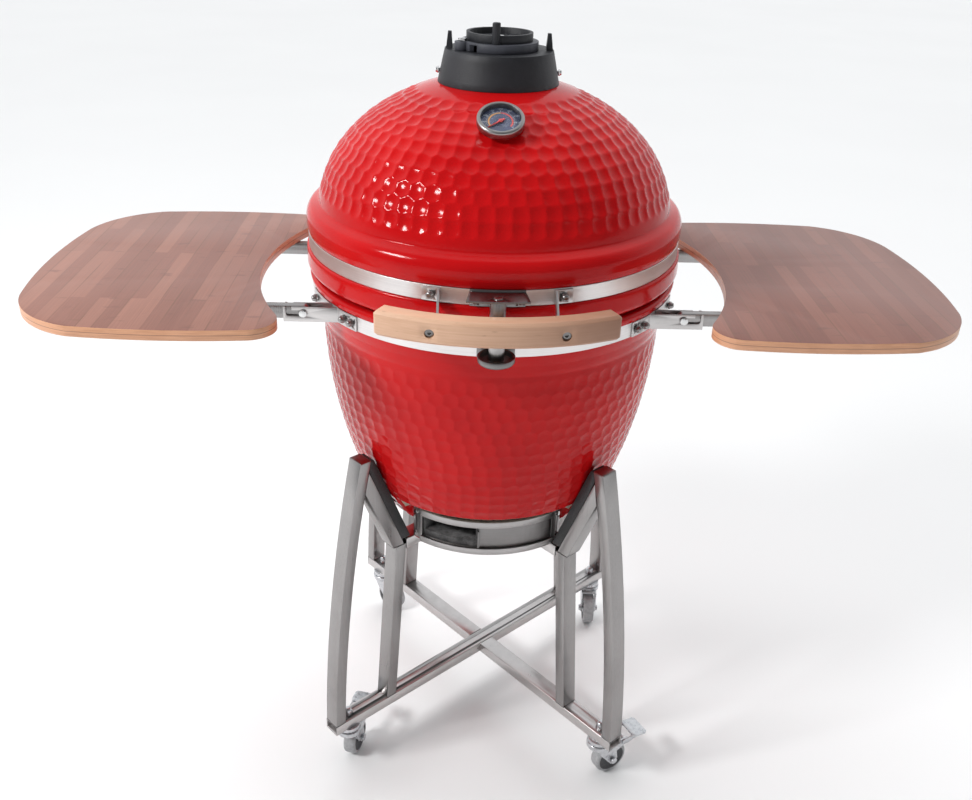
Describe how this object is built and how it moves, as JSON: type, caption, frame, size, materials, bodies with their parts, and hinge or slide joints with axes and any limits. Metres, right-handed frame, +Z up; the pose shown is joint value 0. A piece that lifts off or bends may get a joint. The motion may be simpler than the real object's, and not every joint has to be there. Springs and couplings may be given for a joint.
{
  "type": "kamado ceramic grill",
  "caption": "Egg-shaped ceramic charcoal grill with hinged lid, sliding air door and chimney vent, in a wheeled steel cart with folding wooden side shelves.",
  "frame": {"origin": "on the floor under the upright axis of the egg", "axes": "+X to the user's right along the two shelves, +Y to the back where the lid hinge is, +Z up"},
  "size_m": [1.34, 0.71, 1.2211],
  "materials": {
    "red_glaze": "gloss",
    "gasket_felt": "matte",
    "fire_clay": "matte",
    "cast_iron": "matte",
    "stainless": "satin",
    "polished_steel": "gloss",
    "spring_steel": "satin",
    "bamboo": "satin",
    "bamboo_board": "satin",
    "dial_face": "satin",
    "dial_glass": "gloss",
    "needle_red": "satin",
    "black_rubber": "matte",
    "zinc_plate": "satin",
    "wheel_tread": "matte"
  },
  "bodies": {
    "stand": {"base_bowl": "red_glaze", "base_gasket": "gasket_felt", "fire_bowl": "fire_clay", "fire_ring": "fire_clay", "charcoal_grate": "cast_iron", "cooking_grate": "stainless", "base_band": "stainless", "latch_cup": "stainless", "hinge_base_bracket": "stainless", "hinge_pin": "polished_steel", "hinge_springs": "spring_steel", "draft_frame": "stainless", "draft_screws": "polished_steel", "stand_legs": "stainless", "stand_posts": "stainless", "stand_struts": "stainless", "stand_pads": "black_rubber", "stand_base_cross": "stainless", "stand_top_cross": "stainless", "caster_mounts": "zinc_plate", "shelf_brackets": "stainless", "base_fasteners": "stainless"},
    "lid": {"lid_dome": "red_glaze", "lid_gasket": "gasket_felt", "lid_band": "stainless", "handle_bar": "bamboo", "handle_brackets": "stainless", "lid_fasteners": "stainless", "latch_bracket": "stainless", "latch_barrel": "polished_steel", "hinge_lid_bracket": "stainless", "vent_collar": "cast_iron", "collar_screws": "polished_steel", "vent_pivot_bolt": "polished_steel", "thermometer_case": "stainless", "thermometer_dial": "dial_face", "thermometer_glass": "dial_glass", "thermometer_probe": "stainless"},
    "vent_cap": {"vent_cap": "cast_iron", "daisy_rivet": "polished_steel"},
    "daisy_wheel": {"daisy_wheel": "cast_iron"},
    "needle": {"thermometer_needle": "needle_red"},
    "draft_door": {"draft_door": "stainless"},
    "right_shelf_slide": {"right_shelf_pins": "polished_steel"},
    "right_shelf_leaf": {"right_shelf_board": "bamboo_board", "right_shelf_arms": "stainless"},
    "left_shelf_slide": {"left_shelf_pins": "polished_steel"},
    "left_shelf_leaf": {"left_shelf_board": "bamboo_board", "left_shelf_arms": "stainless"},
    "caster_front_left": {"caster_fork_front_left": "zinc_plate"},
    "wheel_front_left": {"caster_wheel_front_left": "wheel_tread"},
    "brake_front_left": {"caster_brake_front_left": "zinc_plate"},
    "caster_front_right": {"caster_fork_front_right": "zinc_plate"},
    "wheel_front_right": {"caster_wheel_front_right": "wheel_tread"},
    "brake_front_right": {"caster_brake_front_right": "zinc_plate"},
    "caster_rear_left": {"caster_fork_rear_left": "zinc_plate"},
    "wheel_rear_left": {"caster_wheel_rear_left": "wheel_tread"},
    "caster_rear_right": {"caster_fork_rear_right": "zinc_plate"},
    "wheel_rear_right": {"caster_wheel_rear_right": "wheel_tread"}
  },
  "joints": [
    {"name": "lid_hinge", "type": "hinge", "parent": "stand", "child": "lid", "pos_m": [0, 0.33, 0.884], "axis": [-1, 0, 0], "range_deg": [0, 60]},
    {"name": "vent_cap_swing", "type": "hinge", "parent": "lid", "child": "vent_cap", "pos_m": [-0.052, -0.02, 1.185], "axis": [0, 0, -1], "range_deg": [0, 80]},
    {"name": "daisy_wheel_turn", "type": "hinge", "parent": "vent_cap", "child": "daisy_wheel", "pos_m": [0, 0, 1.195], "axis": [0, 0, 1], "range_deg": [-30, 30]},
    {"name": "thermometer_needle_turn", "type": "hinge", "parent": "lid", "child": "needle", "pos_m": [0, -0.16195, 1.11561], "axis": [0, 0.4812, -0.8766], "range_deg": [0, 250]},
    {"name": "draft_door_slide", "type": "hinge", "parent": "stand", "child": "draft_door", "pos_m": [0, 0, 0.466], "axis": [0, 0, 1], "range_deg": [-31, 0]},
    {"name": "right_shelf_pull", "type": "slide", "parent": "stand", "child": "right_shelf_slide", "axis": [1, 0, 0], "range_m": [0, 0.02]},
    {"name": "right_shelf_fold", "type": "hinge", "parent": "right_shelf_slide", "child": "right_shelf_leaf", "pos_m": [0.271, -0.027, 0.845], "axis": [0, 1, 0], "range_deg": [0, 90]},
    {"name": "left_shelf_pull", "type": "slide", "parent": "stand", "child": "left_shelf_slide", "axis": [-1, 0, 0], "range_m": [0, 0.02]},
    {"name": "left_shelf_fold", "type": "hinge", "parent": "left_shelf_slide", "child": "left_shelf_leaf", "pos_m": [-0.271, -0.027, 0.845], "axis": [0, -1, 0], "range_deg": [0, 90]},
    {"name": "swivel_front_left", "type": "hinge", "parent": "stand", "child": "caster_front_left", "pos_m": [-0.23292, -0.20608, 0.078], "axis": [0, 0, 1], "continuous": true},
    {"name": "roll_front_left", "type": "hinge", "parent": "caster_front_left", "child": "wheel_front_left", "pos_m": [-0.22671, -0.18289, 0.031], "axis": [-0.9659, 0.2588, 0], "continuous": true},
    {"name": "brake_pedal_front_left", "type": "hinge", "parent": "caster_front_left", "child": "brake_front_left", "pos_m": [-0.22102, -0.16164, 0.068], "axis": [-0.9659, 0.2588, 0], "range_deg": [0, 15]},
    {"name": "swivel_front_right", "type": "hinge", "parent": "stand", "child": "caster_front_right", "pos_m": [0.20608, -0.23292, 0.078], "axis": [0, 0, 1], "continuous": true},
    {"name": "roll_front_right", "type": "hinge", "parent": "caster_front_right", "child": "wheel_front_right", "pos_m": [0.22707, -0.22129, 0.031], "axis": [-0.4848, 0.8746, 0], "continuous": true},
    {"name": "brake_pedal_front_right", "type": "hinge", "parent": "caster_front_right", "child": "brake_front_right", "pos_m": [0.24631, -0.21062, 0.068], "axis": [-0.4848, 0.8746, 0], "range_deg": [0, 15]},
    {"name": "swivel_rear_left", "type": "hinge", "parent": "stand", "child": "caster_rear_left", "pos_m": [-0.20608, 0.23292, 0.078], "axis": [0, 0, 1], "continuous": true},
    {"name": "roll_rear_left", "type": "hinge", "parent": "caster_rear_left", "child": "wheel_rear_left", "pos_m": [-0.18796, 0.21718, 0.031], "axis": [0.6561, 0.7547, 0], "continuous": true},
    {"name": "swivel_rear_right", "type": "hinge", "parent": "stand", "child": "caster_rear_right", "pos_m": [0.23292, 0.20608, 0.078], "axis": [0, 0, 1], "continuous": true},
    {"name": "roll_rear_right", "type": "hinge", "parent": "caster_rear_right", "child": "wheel_rear_right", "pos_m": [0.23209, 0.18209, 0.031], "axis": [0.9994, -0.0349, 0], "continuous": true}
  ]
}
